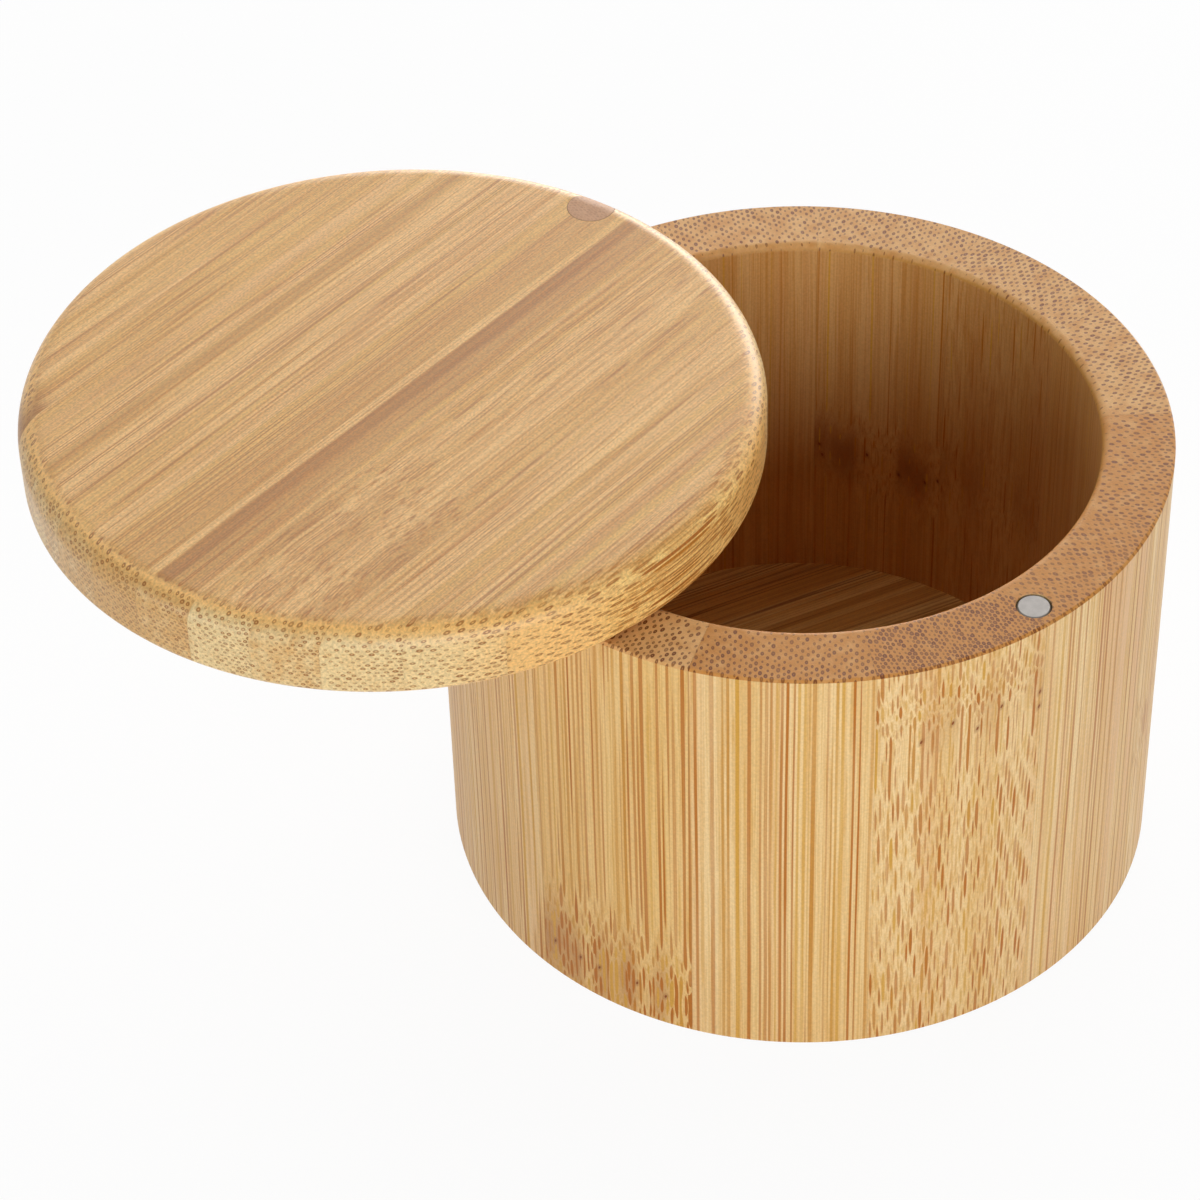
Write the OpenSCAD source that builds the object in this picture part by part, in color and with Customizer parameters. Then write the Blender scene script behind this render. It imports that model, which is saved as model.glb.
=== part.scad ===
// Round bamboo salt box with a lid that swivels open on one pivot and is held shut by two magnets.
// The origin is the centre of the underside, +Z is up, the pivot is towards +Y and the magnet
// in the rim towards -Y. The lid is drawn swung open; turning it back by lid_open shuts it.

/* [Body] */
// Outside diameter of the box and of its lid
body_d = 88.9; // [76:0.1:115]
// Height of the box without its lid
body_h = 60.65; // [45:0.05:95]
// Thickness of the wall
wall_t = 8.65; // [8.2:0.05:12]
// Number of staves that are glued up into the wall
stave_count = 13; // [10:1:16]
// Direction of the first joint between two staves, in degrees from +X
stave_start = -91.3; // [-105:0.1:-75]
// Radius of the softened inner edge of the rim
rim_round = 1; // [0.4:0.1:1.4]
// Width of the fine chamfer on the outer edges of the rim and of the foot
edge_ease = 0.3; // [0.1:0.05:0.5]

/* [Floor] */
// Thickness of the floor
floor_t = 7; // [4:0.1:12]
// How far the floor reaches into the rebate under the wall
floor_lip = 2.2; // [1:0.1:3.5]
// Glue gap between the floor's edge and the rebate
floor_fit = 0.05; // [0.02:0.01:0.2]
// Number of strips that are glued up into the floor
floor_strip_count = 11; // [7:2:15]
// Direction of the floor's grain, in degrees from +X
floor_grain = -12; // [-90:1:90]

/* [Lid] */
// Thickness of the lid
lid_t = 9; // [8:0.1:15]
// Running gap between the rim and the lid
lid_gap = 0.2; // [0.1:0.05:0.5]
// Radius of the lid's upper edge
lid_round = 3.2; // [2:0.1:4]
// Radius of the lid's lower edge
lid_under_round = 1; // [0.4:0.1:1.2]
// Number of strips that are glued up into the lid
lid_strip_count = 12; // [8:2:14]
// How far the lid's middle joint lies from its centre, across the grain
lid_joint_shift = -0.7; // [-2.5:0.1:-0.5]
// Direction of the lid's grain when the lid is shut, in degrees from +X
lid_grain = 85.4; // [70:0.1:110]
// How far the lid is drawn swung open, in degrees
lid_open = 72.7; // [0:0.1:180]

/* [Pivot] */
// Distance of the pivot from the outside of the wall
pivot_inset = 3.35; // [3.3:0.05:4.5]
// Diameter of the pivot screw's shank
screw_d = 3; // [2.4:0.1:3.6]
// Length of the screw in the wall
screw_hold = 24; // [12:1:36]
// Length of the screw's point
screw_tip = 2.4; // [1:0.1:4]
// Depth of the pilot hole past the screw's point
pilot_spare = 1; // [0.5:0.1:2]
// Gap all round the screw in its pilot hole
pilot_fit = 0.02; // [0.01:0.01:0.05]
// Running clearance all round the shank in the lid
screw_play = 0.05; // [0.02:0.01:0.1]
// Diameter of the screw's head
screw_head_d = 5.4; // [4.6:0.1:5.6]
// Height of the screw's head
screw_head_t = 1.6; // [1.2:0.1:2]
// Running clearance between the screw's head and the lid
head_play = 0.1; // [0.05:0.05:0.3]
// Width of the hexagon socket in the head, corner to corner
key_w = 2.6; // [1.5:0.1:3]
// Depth of the hexagon socket
key_depth = 0.9; // [0.5:0.1:1]
// Diameter of the bamboo plug over the screw
plug_d = 6; // [5.8:0.1:6.4]
// Length of the plug
plug_len = 3; // [2:0.1:3.5]
// Glue gap all round the plug
plug_fit = 0.04; // [0.02:0.01:0.1]
// Air between the plug and the screw's head
plug_air = 0.3; // [0.1:0.1:1]

/* [Magnets] */
// Distance of the magnets from the outside of the wall
magnet_inset = 3.35; // [3.3:0.05:4.5]
// Diameter of a magnet
magnet_d = 4; // [3:0.1:4.2]
// Length of a magnet
magnet_t = 3; // [1.5:0.1:4]
// Glue gap all round a magnet
magnet_fit = 0.1; // [0.05:0.01:0.2]
// How far a magnet lies below the surface round it
magnet_sink = 0.05; // [0:0.01:0.2]
// Width of the chamfer on a magnet's edges
magnet_ease = 0.2; // [0.1:0.05:0.4]

/* [Hidden] */
$fn = 96;
// Overshoot of every cut past the surface it leaves through
over = 1;
body_r = body_d / 2;
cavity_r = body_r - wall_t;
stave_angle = 360 / stave_count;
rebate_r = cavity_r + floor_lip;
floor_r = rebate_r - floor_fit;
floor_strip_w = 2 * floor_r / floor_strip_count;
lid_r = body_r;
lid_strip_w = 2 * lid_r / lid_strip_count;
lid_z = body_h + lid_gap;
pivot_r = body_r - pivot_inset;
magnet_r = body_r - magnet_inset;
counterbore_h = plug_len + plug_air + screw_head_t + head_play;
head_z = lid_z + lid_t - counterbore_h + head_play;
pale_bamboo = [0.89, 0.74, 0.49];
warm_bamboo = [0.84, 0.67, 0.43];
end_grain = [0.76, 0.55, 0.37];
magnet_grey = [0.75, 0.74, 0.73];
steel_grey = [0.62, 0.63, 0.65];

function numbered(word, i) = str(word, i < 10 ? "_0" : "_", i);
function stave_name(i) = numbered("body_stave", i);
function floor_name(i) = numbered("floor_strip", i);
function lid_name(i) = numbered("lid_strip", i);
function tone(i) = i % 2 == 0 ? pale_bamboo : warm_bamboo;

// What a rounding of radius r takes off a square corner that points up and out
module corner_waste(r) {
    difference() {
        square(r + over);
        circle(r);
    }
}

// Cross-section of the wall, with the rebate for the floor and the softened rim
module wall_section() {
    difference() {
        polygon([
            [rebate_r, 0],
            [body_r - edge_ease, 0],
            [body_r, edge_ease],
            [body_r, body_h - edge_ease],
            [body_r - edge_ease, body_h],
            [cavity_r, body_h],
            [cavity_r, floor_t],
            [rebate_r, floor_t]
        ]);
        translate([cavity_r + rim_round, body_h - rim_round]) mirror([1, 0]) corner_waste(rim_round);
    }
}

// Cross-section of the lid, from its axis to its rounded edge
module lid_section() {
    difference() {
        square([lid_r, lid_t]);
        translate([lid_r - lid_round, lid_t - lid_round]) corner_waste(lid_round);
        translate([lid_r - lid_under_round, lid_under_round]) mirror([0, 1]) corner_waste(lid_under_round);
    }
}

// Moves what is drawn at the centre of the shut lid to where the open lid is
module on_open_lid() {
    translate([0, pivot_r, lid_z]) rotate(-lid_open) translate([0, -pivot_r, 0]) children();
}

// The board between two joints across a glued panel of strips; the outer boards run past the edge
module board(i, count, w, shift, reach, thick) {
    low = i == 1 ? -reach : shift + (i - 1 - count / 2) * w;
    high = i == count ? reach : shift + (i - count / 2) * w;
    translate([-reach, low, -over]) cube([2 * reach, high - low, thick + 2 * over]);
}

// Blind hole for a magnet, with its mouth at the origin and its depth below it
module magnet_hole() {
    depth = magnet_sink + magnet_t;
    translate([0, 0, -depth]) cylinder(r = magnet_d / 2 + magnet_fit, h = depth + over);
}

// Disc magnet with chamfered edges, as it lies in that hole
module magnet() {
    flat_r = magnet_d / 2 - magnet_ease;
    translate([0, 0, -magnet_sink - magnet_t]) rotate_extrude() polygon([
        [0, 0],
        [flat_r, 0],
        [magnet_d / 2, magnet_ease],
        [magnet_d / 2, magnet_t - magnet_ease],
        [flat_r, magnet_t],
        [0, magnet_t]
    ]);
}

// One stave of the wall: its grain stands upright and its two flanks are glued to its neighbours
module body_stave(i) {
    pilot_h = screw_hold + pilot_spare;
    color(tone(i)) difference() {
        rotate(stave_start + (i - 1) * stave_angle) rotate_extrude(angle = stave_angle) wall_section();
        translate([0, -magnet_r, body_h]) magnet_hole();
        translate([0, pivot_r, body_h - pilot_h]) cylinder(r = screw_d / 2 + pilot_fit, h = pilot_h + over);
    }
}

// One strip of the round floor, which is let into the wall from below
module floor_strip(i) {
    color(tone(i)) intersection() {
        cylinder(r = floor_r, h = floor_t);
        rotate(floor_grain) board(i, floor_strip_count, floor_strip_w, 0, body_r, floor_t);
    }
}

// One strip of the lid, with its share of the pivot hole, the counterbore and the magnet hole
module lid_strip(i) {
    color(tone(i)) on_open_lid() difference() {
        intersection() {
            rotate_extrude() lid_section();
            rotate(lid_grain) board(i, lid_strip_count, lid_strip_w, lid_joint_shift, 2 * lid_r, lid_t);
        }
        translate([0, pivot_r, -over]) cylinder(r = screw_d / 2 + screw_play, h = lid_t + 2 * over);
        translate([0, pivot_r, lid_t - counterbore_h]) cylinder(d = plug_d, h = counterbore_h + over);
        translate([0, -magnet_r, 0]) mirror([0, 0, 1]) magnet_hole();
    }
}

// Magnet glued into the rim
module rim_magnet() {
    color(magnet_grey) translate([0, -magnet_r, body_h]) magnet();
}

// Magnet glued into the lid's underside, over the rim's magnet when the lid is shut
module lid_magnet() {
    color(magnet_grey) on_open_lid() translate([0, -magnet_r, 0]) mirror([0, 0, 1]) magnet();
}

// Screw driven into the wall; the lid turns on its shank and is kept down by its head
module pivot_screw() {
    shank_h = head_z - body_h + screw_hold - screw_tip;
    color(steel_grey) translate([0, pivot_r, head_z]) difference() {
        union() {
            cylinder(d = screw_head_d, h = screw_head_t);
            translate([0, 0, -shank_h]) cylinder(d = screw_d, h = shank_h);
            translate([0, 0, -shank_h - screw_tip]) cylinder(d1 = screw_d / 6, d2 = screw_d, h = screw_tip);
        }
        translate([0, 0, screw_head_t - key_depth]) cylinder(d = key_w, h = key_depth + over, $fn = 6);
    }
}

// Plug of end-grain bamboo over the screw, trimmed to the lid's rounded edge
module pivot_plug() {
    color(end_grain) on_open_lid() intersection() {
        rotate_extrude() lid_section();
        translate([0, pivot_r, lid_t - plug_len]) cylinder(r = plug_d / 2 - plug_fit, h = plug_len + over);
    }
}

for (i = [1 : stave_count]) body_stave(i);
for (i = [1 : floor_strip_count]) floor_strip(i);
for (i = [1 : lid_strip_count]) lid_strip(i);
rim_magnet();
pivot_screw();
lid_magnet();
pivot_plug();
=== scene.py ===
"""Round bamboo salt box with a lid that swivels on one pivot, dressed over its CAD solids."""

from math import cos, pi, radians, sin

import bpy
from mathutils import Matrix, Vector


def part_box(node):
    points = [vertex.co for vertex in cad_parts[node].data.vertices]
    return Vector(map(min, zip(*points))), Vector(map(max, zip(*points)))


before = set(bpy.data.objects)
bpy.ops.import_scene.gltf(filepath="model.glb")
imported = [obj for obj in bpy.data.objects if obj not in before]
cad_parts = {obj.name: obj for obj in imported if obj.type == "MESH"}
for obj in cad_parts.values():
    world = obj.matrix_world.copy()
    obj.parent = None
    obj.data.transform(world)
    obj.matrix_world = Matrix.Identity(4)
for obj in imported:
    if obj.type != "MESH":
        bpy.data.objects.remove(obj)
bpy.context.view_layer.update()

# ---------------------------------------------------------------------------------------------
# Camera. The picture looks down on the box from its front left, from half a metre away and
# through a long lens, with the horizon turned by a small angle.
# ---------------------------------------------------------------------------------------------
MM = 0.001
upright = Vector((0, 0, 1))
eye = Vector((-242.35, -285.72, 372.46)) * MM
looks_at = Vector((-17.54, 18.18, 30.0)) * MM
horizon_tilt = radians(-1.873)
sensor_width = 36
focal_length = 121.75
nearest_seen = 10 * MM

ahead = (looks_at - eye).normalized()
level_right = ahead.cross(upright).normalized()
level_up = level_right.cross(ahead)
right = cos(horizon_tilt) * level_right + sin(horizon_tilt) * level_up
up = cos(horizon_tilt) * level_up - sin(horizon_tilt) * level_right

camera = bpy.data.objects.new("camera", bpy.data.cameras.new("camera"))
camera.data.sensor_width = sensor_width
camera.data.lens = focal_length
camera.data.clip_start = nearest_seen
camera.matrix_world = Matrix.Translation(eye) @ Matrix((right, up, -ahead)).transposed().to_4x4()
bpy.context.scene.collection.objects.link(camera)
bpy.context.scene.camera = camera

# ---------------------------------------------------------------------------------------------
# Wall: thirteen upright bamboo staves with radial glue joints, turned round on a lathe inside and
# out, sanded and oiled. The fibres stand upright, so the rim and the foot are end grain.
# ---------------------------------------------------------------------------------------------
stave_count = 13
first_joint = radians(-91.3)
stave_turn = 2 * pi / stave_count
wall_radius = 44.45
wall_thickness = 8.65


def paint(red, green, blue):
    """The linear colour of an sRGB colour that is given from 0 to 255."""
    parts = [value / 255 for value in (red, green, blue)]
    return (*(part / 12.92 if part < 0.04045 else ((part + 0.055) / 1.055) ** 2.4 for part in parts), 1)


# Colours of the oiled bamboo along its fibres; the bore's own colour multiplies what lies in it, partly the
# inner cane's more orange tone and partly painted shade
side_colours = {
    "pale": paint(236, 206, 154),
    "warm": paint(229, 194, 136),
    "pink": paint(226, 184, 138),
    "golden": paint(228, 186, 112),
    "line": paint(178, 104, 14),
    "olive": paint(206, 154, 60),
    "thread": paint(206, 152, 66),
    "stain": paint(176, 122, 74),
    "pit": paint(132, 66, 8),
    "glue": paint(128, 84, 44),
    "bore": (0.78, 0.6, 0.42, 1),
}
# Colours of the cut ends of the fibres, which drink more oil
end_colours = {
    "ground": paint(200, 136, 64),
    "light": paint(228, 178, 116),
    "dots": paint(112, 56, 8),
    "edge": paint(206, 152, 78),
}


class Signal:
    """A value inside a material. Arithmetic on it adds the Math nodes that work it out."""

    def __init__(self, tree, socket=None):
        self.tree = tree
        self.socket = socket

    def node(self, kind, settings=None, inputs=None, output=0):
        """Adds a node of that kind: its settings first, then the values or links of its sockets."""
        made = self.tree.nodes.new("ShaderNode" + kind)
        for name, value in (settings or {}).items():
            setattr(made, name, value)
        for name, value in (inputs or {}).items():
            if isinstance(value, Signal):
                self.tree.links.new(value.socket, made.inputs[name])
            else:
                made.inputs[name].default_value = value
        return Signal(self.tree, made.outputs[output] if made.outputs else None)

    def __getitem__(self, output):
        """Another output of the node that this value comes from."""
        return Signal(self.tree, self.socket.node.outputs[output])

    def math(self, operation, *values):
        """The outcome of one operation on the numbers that it is given."""
        return self.node("Math", {"operation": operation}, dict(enumerate(values)))

    def __add__(self, other):
        return self.math("ADD", self, other)

    __radd__ = __add__

    def __sub__(self, other):
        return self.math("SUBTRACT", self, other)

    def __rsub__(self, other):
        return self.math("SUBTRACT", other, self)

    def __mul__(self, other):
        return self.math("MULTIPLY", self, other)

    __rmul__ = __mul__

    def __truediv__(self, other):
        return self.math("DIVIDE", self, other)

    def __abs__(self):
        return self.math("ABSOLUTE", self)

    def hill(self, width):
        """1 where the value is 0, falling off on both sides as a bell of that half width."""
        part = self / width
        return self.math("EXPONENT", part * part * -1)

    def ramp(self, low, high, start=0, end=1):
        """Climbs smoothly from start, where the value is low, to end, where it is high."""
        return self.node("MapRange", {"interpolation_type": "SMOOTHSTEP"},
                         {"Value": self, "From Min": low, "From Max": high, "To Min": start, "To Max": end})

    def slide(self, first, second):
        """The first number where the value is 0 and the second where it is 1."""
        return (second - first) * self + first

    def blend(self, first, second):
        """The first colour where the value is 0 and the second where it is 1."""
        return self.node("Mix", {"data_type": "RGBA"}, {0: self, 6: first, 7: second}, output=2)

    def point(self, x, y, z=0.0):
        """A point from its three coordinates."""
        return self.node("CombineXYZ", None, {"X": x, "Y": y, "Z": z})

    def split(self):
        """The three coordinates of a point, or the three parts of a colour."""
        parts = self.node("SeparateXYZ", None, {"Vector": self})
        return parts["X"], parts["Y"], parts["Z"]

    def part_along(self, direction):
        """How much of a vector points in a fixed direction."""
        return self.node("VectorMath", {"operation": "DOT_PRODUCT"}, {0: self, 1: tuple(direction)}, "Value")

    def noise(self, x, y, z, detail=2.0, rough=0.5):
        """Soft noise round 0.5, with spots that are one unit across: with x * 0.25, four times as wide."""
        return self.node("TexNoise", {"noise_dimensions": "3D"},
                         {"Vector": self.point(x, y, z), "Scale": 1.0, "Detail": detail, "Roughness": rough})


def fresh_nodes(owner):
    """Clears the nodes of a material or of the world, and gives what its new ones are added from."""
    owner.use_nodes = True
    owner.node_tree.nodes.clear()
    return Signal(owner.node_tree)


def bamboo(name, origin, skin, grain, sides, ends, growth, joint):
    """Bamboo as a solid that the piece is cut from.

    In millimetres from the piece's origin, x runs across, y towards the skin of the cane and z along the
    fibres. Bundles of fibres stand in staggered rows in the plane of x and y, closer together towards the
    skin. Where the cut goes across them, each is a dark dot with a lighter core. Along them they show as
    lines that end where the surface leaves the bundle, because noise, a slant or a knuckle moves the rows
    along z. The entries of growth are explained at plain, and joint gives the distance to the glue.
    """
    finish = bpy.data.materials.new(name)
    start = fresh_nodes(finish)
    side = skin.cross(grain)
    turn = Matrix((side, skin, grain)).transposed().to_euler()
    place = start.node("TexCoord", output="Object")
    inside = place.node("Mapping", {"vector_type": "TEXTURE"},
                        {"Vector": place, "Location": origin, "Rotation": turn, "Scale": (MM, MM, MM)})
    x, y, z = inside.split()
    seed = growth["seed"]

    # The rows drift a little as they run along the piece, or slant through it in a zigzag
    drift = start.noise(x * growth["wave"] + seed, y * 0.11, z * growth["swirl"], 0.0)
    drift_x, drift_y = drift["Color"].split()[:2]
    row_x = x + (drift_x - 0.5) * growth["sway"]
    row_y = y + (drift_y - 0.5) * growth["flame"] + z * growth["slant"]
    if growth["zigzag"]:
        fold = 0.9 * growth["slant"]
        row_y = row_y - abs(x - growth["zigzag"]) * fold

    # A knuckle of the cane lies in scallops of some five millimetres, lifts the rows and bends them
    # over each other
    knuckle = growth["knuckle"]
    if knuckle:
        scallop_depth = 1.8
        sweep = x * 0.6 + seed
        scallop = abs(sweep.math("SINE", sweep)) * scallop_depth
        near = (z - (knuckle["z"] + x * knuckle["slope"] + scallop)).hill(knuckle["reach"])
        tangle = start.noise(x * 0.9, z * 0.12, seed, 1.0)
        row_y = row_y + near * (knuckle["lift"] + (tangle - 0.5) * knuckle["tangle"])
        row_x = row_x + near * knuckle["lean"]
        marked = near * knuckle["dark"]

    # The nearest bundle: u counts the bundles of a row and v the rows, and their sum and difference
    # stagger them; density is the rows to the millimetre, and span the distance from its middle
    pitch = growth["pitch"]
    density = growth["rows"] + row_y * (2 * growth["crowd"])
    u = row_x / pitch
    v = row_y * growth["rows"] + row_y * row_y * growth["crowd"]
    a = u + v + seed
    b = u - v + seed * 2
    cell = start.node("TexVoronoi", {"voronoi_dimensions": "2D", "feature": "F1"},
                      {"Vector": start.point(a, b), "Scale": 1.0, "Randomness": growth["loose"]})
    cell_a, cell_b = cell["Position"].split()[:2]
    luck_1, luck_2, luck_3 = cell["Color"].split()
    dx = (a - cell_a + b - cell_b) * (pitch / 2)
    dy = (a - cell_a - b + cell_b) / density * (0.5 * growth["oval"])
    span = dx * dx + dy * dy
    span = span.math("SQRT", span)

    # Which way the surface cuts the fibres: across them, or along them in the plane of a row's radius.
    # It turns from one to the other over the rounded edges, where the ends open step by step.
    normal = place["Normal"]
    across_grain = abs(normal.part_along(grain))
    turning = across_grain.ramp(0.12, 0.4)
    cut = across_grain.ramp(0.35, 0.75)
    open_ends = across_grain.ramp(*growth["opened"])
    quartered = abs(normal.part_along(side)).ramp(0.5, 0.95)

    # Ground along the fibres: soft bands with a blush that is out of step with them, wandering stains
    # with ragged edges, fine threads, and in the bore a darker, more orange colour, partly its own tone and
    # partly painted shade
    tone = start.noise(x * 0.25 + seed, y * growth["bands"], z * 0.01, 1.0)
    blush = start.noise(x * 0.35, y * 0.35 + seed, z * 0.006 + 7.7, 0.0)
    streak = start.noise(row_x * 2.7, row_y * 2.7, z * 0.02 + seed, 1.0)
    hair = start.noise(row_x * 5.6 + seed, row_y * 5.6, z * 0.06, 1.0)
    ground = (tone + growth["tone"]).ramp(0.38, 0.62).blend(sides["pale"], sides["warm"])
    ground = blush.ramp(0.5, 0.72, 0.0, growth["blush"]).blend(ground, sides["pink"])
    ground = ((1 - quartered) * growth["golden"]).blend(ground, sides["golden"])
    if growth["stains"]:
        blotch = start.noise(x, y * 1.8, z * 0.05 + seed, 2.0)
        soft, wander, ragged = 0.25, 0.8, 1.2
        for at, width, depth in growth["stains"]:
            band = abs(y - at + (tone - 0.5) * wander) + (blotch - 0.5) * ragged
            ground = band.ramp(width - soft, width + soft, depth, 0.0).blend(ground, sides["stain"])
    thread = streak.ramp(0.53, 0.57, 0.0, 0.5) + hair.ramp(0.53, 0.57, 0.0, 0.5)
    ground = (thread * growth["threads"]).blend(ground, sides["thread"])
    if knuckle:
        ground = (marked * tone.ramp(0.3, 0.6)).blend(ground, sides["stain"])
    # Painted shade: a stave's inner face is darkened, besides being warmed to the inner cane's tone, to
    # stand for the shade deep in the bore
    bore = y.ramp(0.25 - wall_thickness, 0.75 - wall_thickness, 1.0, 0.0) * growth["bored"]
    ground = ground.node("Mix", {"data_type": "RGBA", "blend_type": "MULTIPLY"},
                         {0: bore, 6: ground, 7: sides["bore"]}, output=2)

    # Ground of the cut ends, in light and dark clouds, and of the rounded edges on the way to them
    cloud_contrast = 0.45
    mottle = start.noise(x * 0.6, y * 0.6, z * 0.6 + seed, 1.0)
    mottle = (mottle * cloud_contrast + (growth["end_tone"] + (1 - cloud_contrast) / 2)).ramp(0.3, 0.7)
    colour = turning.blend(ground, ends["edge"])
    colour = cut.blend(colour, mottle.blend(ends["ground"], ends["light"]))

    # Each bundle is a dark mark of its own width, with a light core at its end; where the cut runs along
    # a row's radius, only its two edges show
    spread, least = 0.14, growth["flank"] - 0.06
    width = (luck_2 * spread + least) * (1 - bore * 0.5 - open_ends * growth["shrink"])
    mark = (span - width).ramp(-0.03, 0.05, 1.0, 0.0)
    mark = mark * (1 - span.ramp(0.02, 0.1, growth["core"], 0.0) * open_ends)
    edges = (span - growth["flank"]).hill(growth["thick"]) * 0.75
    mark = ((1 - open_ends) * quartered).slide(mark, edges)

    # Some bundles are weaker than others, and all but their cut ends fade here and there along them
    fade = start.noise(cell_a * 7.3, cell_b * 7.3, z * growth["fade"], 0.0)
    strong = luck_1.ramp(0.0, 0.8, growth["weak"], 1.0) * fade.ramp(0.3, 0.6, growth["faint"], 1.0)
    if knuckle:
        strong = strong.math("MAXIMUM", strong, marked * 2)
    strong = open_ends.slide(strong, luck_1.ramp(0.0, 1.0, 0.7, 1.0))
    mark = mark.math("MINIMUM", mark, 1.0) * strong * growth["lines"]
    ink = luck_3.ramp(0.45, 0.9).blend(sides["line"], sides["olive"])
    colour = mark.blend(colour, turning.blend(ink, ends["dots"]))
    speckle = start.noise(x * 3.6, y * 3.6, z * 3.0, 1.0)
    shade = speckle.ramp(0.25, 0.75, 1 - growth["grit"], 1 + growth["grit"])
    colour = colour.node("HueSaturation", None, {"Color": colour, "Value": shade})

    # Pits are small leaning ovals with a fainter halo, on the sides alone
    pit_lean, pit_width, halo = 0.25, 0.55, 0.35
    for pit_x, pit_z in growth["pits"]:
        gap_z = z - pit_z
        gap_x = (x - pit_x + gap_z * pit_lean) / pit_width
        gap = gap_x * gap_x + gap_z * gap_z
        pit = gap.ramp(0.02, 0.1, 1.0, 0.0) + gap.ramp(0.1, 0.7, halo, 0.0)
        colour = (pit.math("MINIMUM", pit, 1.0) * (1 - cut)).blend(colour, sides["pit"])
    if growth["scorch"]:
        colour = (marked * growth["scorch"]).blend(colour, ends["dots"])
    glue_width = 0.2
    glue = joint(x, y).ramp(0.0, glue_width, growth["glue"], 0.0)
    colour = glue.blend(colour, sides["glue"])

    # Sanded surface: the ends of the fibres are open and rougher than their sides
    relief = streak * 0.6 + cut * (speckle * 1.5 - mark * 0.4) - glue
    bump = start.node("Bump", None, {"Strength": 0.6, "Distance": 0.03 * MM, "Height": relief})
    rough = 0.5 - mark * 0.06 + (speckle - 0.5) * 0.2 + cut * 0.05
    coat = growth["coat"]
    if growth["polish"]:
        coat = turning * growth["polish"] + coat
    shader = start.node("BsdfPrincipled", None, {
        "Base Color": colour, "Roughness": rough, "Normal": bump, "Specular IOR Level": 0.3,
        "Coat Weight": coat, "Coat Roughness": 0.35})
    start.node("OutputMaterial", None, {"Surface": shader})
    return finish


plain = {
    # Where the noise starts
    "seed": 0.0,
    # Drift of the rows: how often to the millimetre across and along them, and how far across and in depth
    "wave": 0.11, "swirl": 0.03, "sway": 0.5, "flame": 0.3,
    # How far the rows slant for each millimetre along them, and the x at which the slant turns round
    "slant": 0.0, "zigzag": 0.0,
    # Millimetres from bundle to bundle, rows to the millimetre, how these crowd towards the skin, how
    # loosely the bundles stand, and how far each is stretched in depth, where less is longer
    "pitch": 1.25, "rows": 1.1, "crowd": 0.03, "loose": 0.35, "oval": 0.62,
    # Marks of the bundles: half width, width of their edges, light core of their ends, how much smaller
    # the ends are, how dark they all are and the weakest, how often they fade and what is left there
    "flank": 0.17, "thick": 0.06, "core": 0.4, "shrink": 0.1, "lines": 1.0, "weak": 0.6, "fade": 0.03,
    "faint": 0.7,
    # Ground: bands to the millimetre in depth, how warm they are, shares of pink, threads and gold
    "bands": 0.25, "tone": 0.0, "blush": 0.4, "threads": 0.6, "golden": 0.0,
    # Cut ends: how light they are, and between which slopes of the surface they open
    "end_tone": 0.04, "opened": (0.3, 0.7),
    # How dark the glue lines are, how grainy the surface, whether it is bored out, which darkens its inner
    # face with the bore's tint and painted shade, its gloss, and how much more of that there is over the
    # rounded edges and the cut ends
    "glue": 0.12, "grit": 0.06, "bored": 0.0, "coat": 0.05, "polish": 0.0,
    # Stains as their depth, half width and strength, pits as their x and z, a knuckle and its scorching
    "stains": (), "pits": (), "knuckle": None, "scorch": 0.0,
}
# A knuckle's slope across the piece, half width, how it moves the rows, and how dark it is
bend = {"slope": 0.1, "reach": 4.0, "lift": 0.8, "tangle": 1.2, "lean": 0.0, "dark": 0.2}
# What sets single staves apart, by their number
stave_marks = {
    1: {"pitch": 1.1, "flank": 0.14, "lines": 0.85, "blush": 0.8, "end_tone": -0.15, "shrink": -0.1},
    2: {"flame": 0.8, "slant": 0.01, "end_tone": -0.12, "knuckle": {**bend, "z": 24.0}},
    4: {"flame": 1.0, "slant": 0.04, "knuckle": {**bend, "z": 28.0, "dark": 0.3}},
    5: {"knuckle": {**bend, "z": 25.5, "slope": -0.22, "lift": 1.2, "tangle": 1.6, "dark": 0.8},
        "pits": ((-7.9, 28.1), (-7.5, 26.3), (-1.6, 27.1), (2.8, 24.8), (6.5, 24.8), (8.3, 25.8))},
    7: {"flame": 1.0, "slant": -0.03},
    10: {"flame": 0.8},
    11: {"flame": 1.0, "swirl": 0.02, "slant": 0.01, "golden": 0.6, "end_tone": 0.12,
         "knuckle": {**bend, "z": 4.0, "reach": 7.0, "lift": 2.1, "tangle": 1.5, "dark": 0.7},
         "pits": ((8.9, 5.6), (4.8, 5.5), (1.9, 5.5), (-3.5, 5.7), (-7.3, 5.0))},
    12: {"flame": 0.15, "sway": 0.3, "golden": 0.2, "end_tone": -0.12},
    13: {"flame": 0.5, "wave": 0.2, "swirl": 0.012, "slant": 0.12, "zigzag": -4.4, "loose": 0.3,
         "pitch": 1.05, "rows": 1.2, "flank": 0.13, "golden": 0.15, "end_tone": -0.2, "shrink": -0.2,
         "knuckle": {**bend, "z": 50.0, "slope": -0.05, "lift": -0.9, "tangle": 0.8, "dark": 0.25},
         "pits": ((5.3, 49.3), (1.5, 51.1), (-1.7, 49.0), (-4.8, 51.1), (-10.2, 50.5), (-10.2, 48.2))},
}


def flank_distance(x, y):
    """Distance in millimetres from the stave's nearer radial joint."""
    return (y + wall_radius) * sin(stave_turn / 2) - abs(x) * cos(stave_turn / 2)


def level(turn):
    """The level direction at that angle from +X."""
    return Vector((cos(turn), sin(turn), 0))


def dress(node, finish):
    """Gives a CAD node its finish."""
    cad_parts[node].material_slots[0].material = finish


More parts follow.
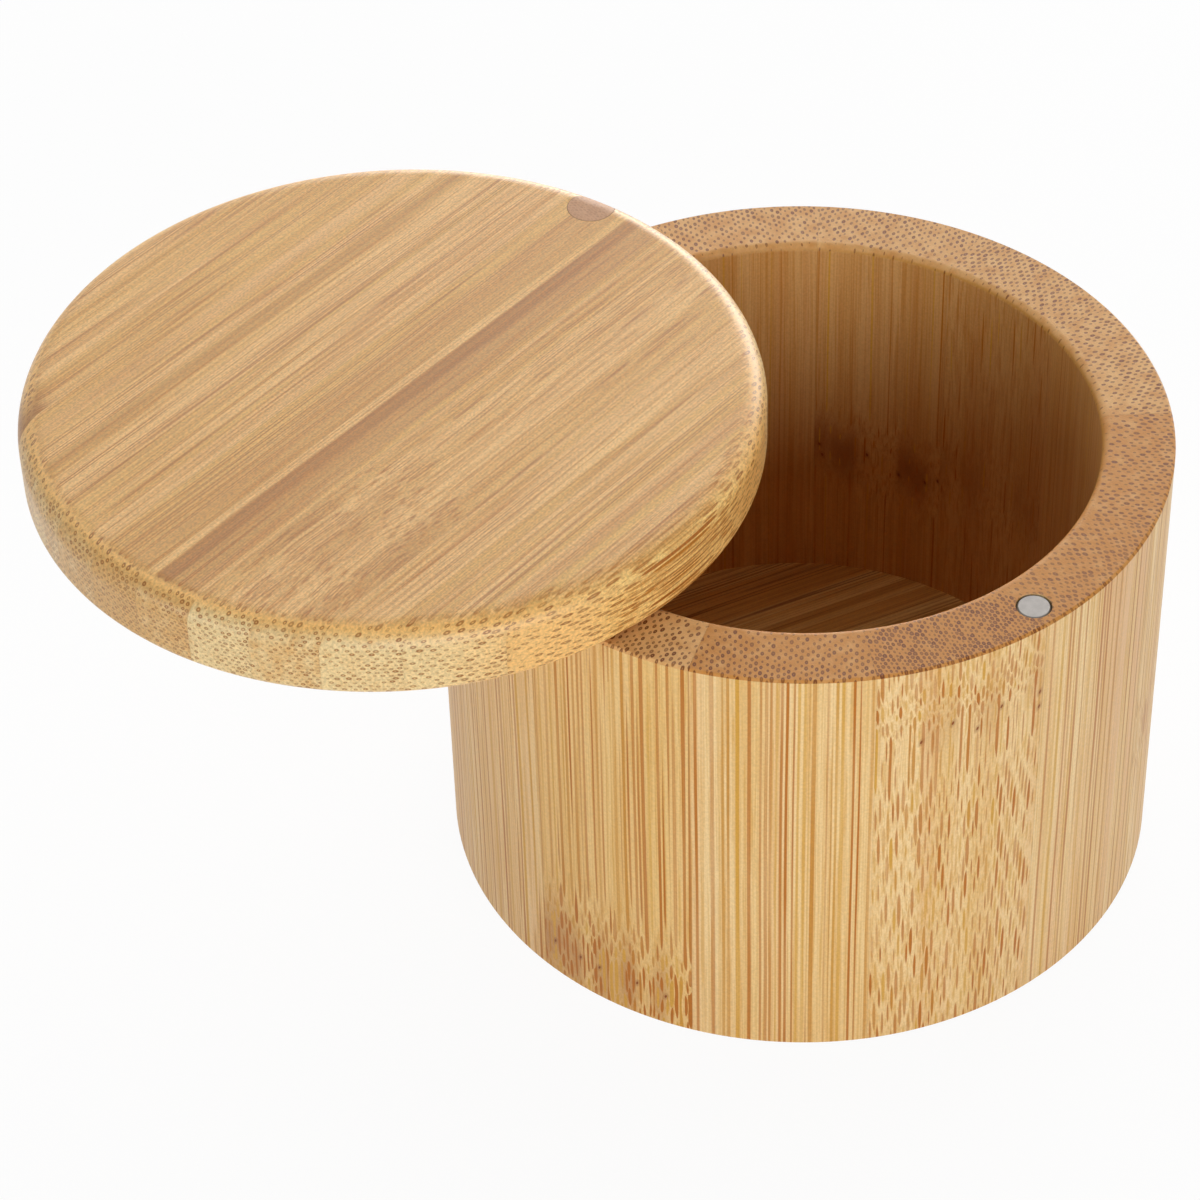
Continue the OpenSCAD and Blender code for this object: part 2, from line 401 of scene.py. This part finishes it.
for number in range(1, stave_count + 1):
    outwards = level(first_joint + (number - 0.5) * stave_turn)
    growth = {**plain, "seed": number * 3.71, "bored": 1.0, **stave_marks.get(number, {})}
    dress(f"body_stave_{number:02d}", bamboo(
        f"wall_bamboo_{number:02d}", outwards * wall_radius * MM, outwards, upright,
        side_colours, end_colours, growth, flank_distance))

# ---------------------------------------------------------------------------------------------
# Floor: a thin round panel of eleven bamboo strips, glued side by side and let into a rebate in
# the foot of the wall from below.
# ---------------------------------------------------------------------------------------------
floor_count = 11
floor_radius = 37.95
floor_turn = radians(-12)
floor_strip = 2 * floor_radius / floor_count
floor_grain = level(floor_turn)
floor_across = upright.cross(floor_grain)
floor_side_colours = {
    **side_colours, "pale": paint(248, 210, 134), "warm": paint(226, 174, 94), "pink": paint(220, 166, 94),
    "line": paint(128, 64, 4), "olive": paint(150, 92, 10), "thread": paint(176, 116, 40)}
floor_plain = {**plain, "weak": 0.8, "faint": 0.4, "flame": 0.6, "bands": 0.5}


def strip_joint(strip):
    """Distance in millimetres from the nearer glue joint of a strip that reaches from 0 to -strip in y."""
    return lambda x, y: strip / 2 - abs(y + strip / 2)


for number in range(1, floor_count + 1):
    low = -floor_radius + (number - 1) * floor_strip
    growth = {**floor_plain, "seed": 60 + number * 2.93}
    dress(f"floor_strip_{number:02d}", bamboo(
        f"floor_bamboo_{number:02d}", floor_across * (low + floor_strip) * MM, floor_across, floor_grain,
        floor_side_colours, end_colours, growth, strip_joint(floor_strip)))

# ---------------------------------------------------------------------------------------------
# Magnets: two nickel-plated discs, one glued into the rim and one into the lid's underside, which
# meet when the lid is shut. The pivot is a steel wood screw with a hexagon socket.
# ---------------------------------------------------------------------------------------------


def plating(name, colour, dull):
    """Tumbled nickel or zinc: fine scratches in every direction and faint clouds."""
    finish = bpy.data.materials.new(name)
    start = fresh_nodes(finish)
    place = start.node("TexCoord", output="Object")
    x, y, z = place.node("Mapping", None, {"Vector": place, "Scale": (1 / MM, 1 / MM, 1 / MM)}).split()
    cloud = start.noise(x * 1.3, y * 1.3, z * 1.3, 3.0)
    grit = start.noise(x * 14.0, y * 14.0, z * 14.0, 3.0, 0.6)
    scratch = start.noise(x * 3.0, y * 22.0, z * 3.0, 2.0)
    worn = (*(part * 0.82 for part in colour[:3]), 1)
    shade = (cloud * 0.5 + grit * 0.3 + scratch * 0.2).ramp(0.35, 0.65).blend(colour, worn)
    bump = start.node("Bump", None, {"Strength": 0.5, "Distance": 0.01 * MM, "Height": grit + scratch})
    shader = start.node("BsdfPrincipled", None, {
        "Base Color": shade, "Roughness": dull + (grit - 0.5) * 0.2, "Normal": bump, "Metallic": 1.0})
    start.node("OutputMaterial", None, {"Surface": shader})
    return finish


for name in ("rim_magnet", "lid_magnet"):
    dress(name, plating(name + "_nickel", paint(128, 124, 120), 0.45))
dress("pivot_screw", plating("pivot_screw_zinc", paint(196, 198, 202), 0.35))

# ---------------------------------------------------------------------------------------------
# Lid: a thick round panel of twelve bamboo strips with its upper edge rounded over. It stands open
# here, swung round on its pivot, so its strips run at an angle to the box.
# ---------------------------------------------------------------------------------------------
lid_count = 12
lid_radius = 44.45
lid_joint_shift = -0.7
grain_when_shut = 85.4
swung_open = 72.7
lid_strip = 2 * lid_radius / lid_count
lid_grain = level(radians(grain_when_shut - swung_open))
lid_across = upright.cross(lid_grain)
lid_boxes = [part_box(f"lid_strip_{number:02d}") for number in range(1, lid_count + 1)]
lid_low = Vector(min(box[0][axis] for box in lid_boxes) for axis in range(3))
lid_high = Vector(max(box[1][axis] for box in lid_boxes) for axis in range(3))
lid_middle = (lid_low + lid_high) / 2

lid_side_colours = {
    **side_colours, "pale": paint(241, 195, 128), "warm": paint(228, 181, 106), "pink": paint(222, 171, 108),
    "golden": paint(248, 208, 130), "stain": paint(172, 116, 54), "line": paint(166, 94, 20),
    "olive": paint(186, 118, 38), "thread": paint(196, 134, 62)}
lid_end_colours = {
    "ground": paint(208, 162, 96), "light": paint(228, 200, 144), "dots": paint(150, 92, 18),
    "edge": paint(240, 188, 110)}
lid_plain = {
    **plain, "flame": 0.5, "pitch": 0.95, "rows": 1.5, "crowd": 0.05, "oval": 0.7, "flank": 0.135,
    "thick": 0.05, "core": 0.8, "shrink": 0.12, "weak": 0.35, "fade": 0.04, "faint": 0.3, "bands": 0.4,
    "threads": 0.75, "golden": 1.0, "end_tone": -0.05, "opened": (0.05, 0.35), "glue": 0.1, "grit": 0.17,
    "coat": 0.25, "polish": 0.3}
# The lines of the two strips at the knuckle waver and break up
wavering = {"flame": 0.8, "swirl": 0.05, "weak": 0.7, "faint": 0.2, "fade": 0.22}
lid_bend = {**bend, "tangle": 0.9, "dark": 0.35}
# What sets single strips apart, by their number; the lid's middle lies between strips six and seven
lid_marks = {
    1: {"weak": 0.8, "faint": 0.7, "flank": 0.13},
    2: {"blush": 0.8, "pitch": 1.1, "end_tone": 0.16},
    3: {"tone": -0.05, "pitch": 1.05, "end_tone": 0.12},
    4: {**wavering, "end_tone": 0.0,
        "knuckle": {**lid_bend, "z": -25.0, "reach": 9.0, "lift": 0.7, "lean": 1.0}},
    5: {**wavering, "end_tone": 0.14,
        "knuckle": {**lid_bend, "z": -28.0, "reach": 11.0, "lift": 0.4, "lean": 1.2}},
    6: {"end_tone": -0.12, "stains": ((-5.1, 1.1, 0.9), (-2.6, 1.9, 0.4))},
    7: {"tone": 0.1, "pitch": 0.85, "end_tone": -0.2, "stains": ((-2.5, 2.5, 0.2),)},
    8: {"tone": -0.08, "end_tone": -0.1},
    9: {"end_tone": -0.02, "stains": ((-6.6, 1.0, 0.4),)},
    10: {"end_tone": -0.05},
    11: {"blush": 0.9, "scorch": 0.75, "knuckle": {**bend, "z": -32.8, "reach": 3.0, "dark": 1.0}},
    12: {"weak": 0.4},
}
for number in range(1, lid_count + 1):
    low = lid_joint_shift + (number - 1 - lid_count / 2) * lid_strip
    growth = {**lid_plain, "seed": 110 + number * 2.37, **lid_marks.get(number, {})}
    dress(f"lid_strip_{number:02d}", bamboo(
        f"lid_bamboo_{number:02d}", lid_middle + lid_across * low * MM, -lid_across, lid_grain,
        lid_side_colours, lid_end_colours, growth, strip_joint(lid_strip)))

# ---------------------------------------------------------------------------------------------
# Plug: a short slice of bamboo dowel, glued into the lid over the pivot screw to hide it. Its end
# grain is sanded flush with the lid's top and rounded edge.
# ---------------------------------------------------------------------------------------------
plug_radius = 3
plug_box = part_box("pivot_plug")
plug_middle = (Vector(plug_box[0]) + Vector(plug_box[1])) / 2
plug_end_colours = {
    "ground": paint(190, 142, 104), "light": paint(204, 158, 120), "dots": paint(160, 106, 70),
    "edge": paint(190, 142, 104)}
# The plug's glue ring is drawn dark and wide: partly glue, partly painted shade in the thin gap round the
# plug
plug_growth = {
    **plain, "seed": 171.3, "pitch": 0.8, "rows": 1.6, "crowd": 0.0, "flank": 0.1, "lines": 0.5, "glue": 0.7}


def plug_edge(x, y):
    """Distance in millimetres from the plug's round edge."""
    square = x * x + y * y
    return plug_radius - square.math("SQRT", square)


dress("pivot_plug", bamboo("plug_bamboo", plug_middle, Vector((0, 1, 0)), upright,
                           side_colours, plug_end_colours, plug_growth, plug_edge))

# ---------------------------------------------------------------------------------------------
# Studio: white paper under the box and four soft lights. The key light stands in front, a weak one
# low on the left, one low behind for a sheen on the rounded edges, and a large one high behind.
# ---------------------------------------------------------------------------------------------
paper_white = (0.95, 0.95, 0.95, 1)
shadow_share = 0.06
paper_half = 4.0
paper_gap = 0.1 * MM
air_light = 0.08
box_middle = Vector((0, 0, 0.03))
light_distance = 1.3


def seen_white(start):
    """1 for what the camera sees, straight, mirrored or through glass, and 0 for the light on the box."""
    ray = start.node("LightPath", output="Is Camera Ray")
    seen = ray.math("MAXIMUM", ray, ray["Is Glossy Ray"])
    return seen.math("MAXIMUM", seen, ray["Is Transmission Ray"])


def paper_finish(name):
    """White paper that looks pure white to the camera and in reflections, but keeps a faint shadow."""
    finish = bpy.data.materials.new(name)
    start = fresh_nodes(finish)
    paper = start.node("BsdfDiffuse", None, {"Color": paper_white})
    glow = start.node("Emission", None, {"Color": (1, 1, 1, 1), "Strength": 1.0})
    mixed = start.node("MixShader", None, {0: seen_white(start) * (1 - shadow_share), 1: paper, 2: glow})
    start.node("OutputMaterial", None, {"Surface": mixed})
    return finish


floor = bpy.data.objects.new("studio_floor", bpy.data.meshes.new("studio_floor"))
corners = [(-paper_half, -paper_half), (paper_half, -paper_half), (paper_half, paper_half),
           (-paper_half, paper_half)]
floor.data.from_pydata([(*corner, -paper_gap) for corner in corners], [], [(0, 1, 2, 3)])
floor.data.materials.append(paper_finish("studio_paper"))
bpy.context.scene.collection.objects.link(floor)


def soft_light(name, turn, height, size, power):
    """A soft box that faces the salt box from that angle from +X and that angle of height, in degrees."""
    turn, height = radians(turn), radians(height)
    place = Vector((cos(turn) * cos(height), sin(turn) * cos(height), sin(height))) * light_distance
    lamp = bpy.data.lights.new(name, "AREA")
    lamp.shape = "RECTANGLE"
    lamp.size, lamp.size_y = size
    lamp.energy = power
    made = bpy.data.objects.new(name, lamp)
    made.location = place
    made.rotation_euler = (box_middle - place).to_track_quat("-Z", "Y").to_euler()
    bpy.context.scene.collection.objects.link(made)


soft_light("key_light", -110, 17, (1.4, 0.6), 11.2)
soft_light("left_light", 178, 9, (0.8, 0.3), 3.2)
soft_light("back_light", 34, 12, (1.3, 0.7), 15)
soft_light("top_light", 62, 55, (2.0, 1.6), 11.6)

world = bpy.data.worlds.new("studio_air")
air = fresh_nodes(world)
brightness = seen_white(air) * (1 - air_light) + air_light
sky = air.node("Background", None, {"Color": (1, 1, 1, 1), "Strength": brightness})
air.node("OutputWorld", None, {"Surface": sky})
bpy.context.scene.world = world
bpy.context.scene.view_settings.view_transform = "Standard"
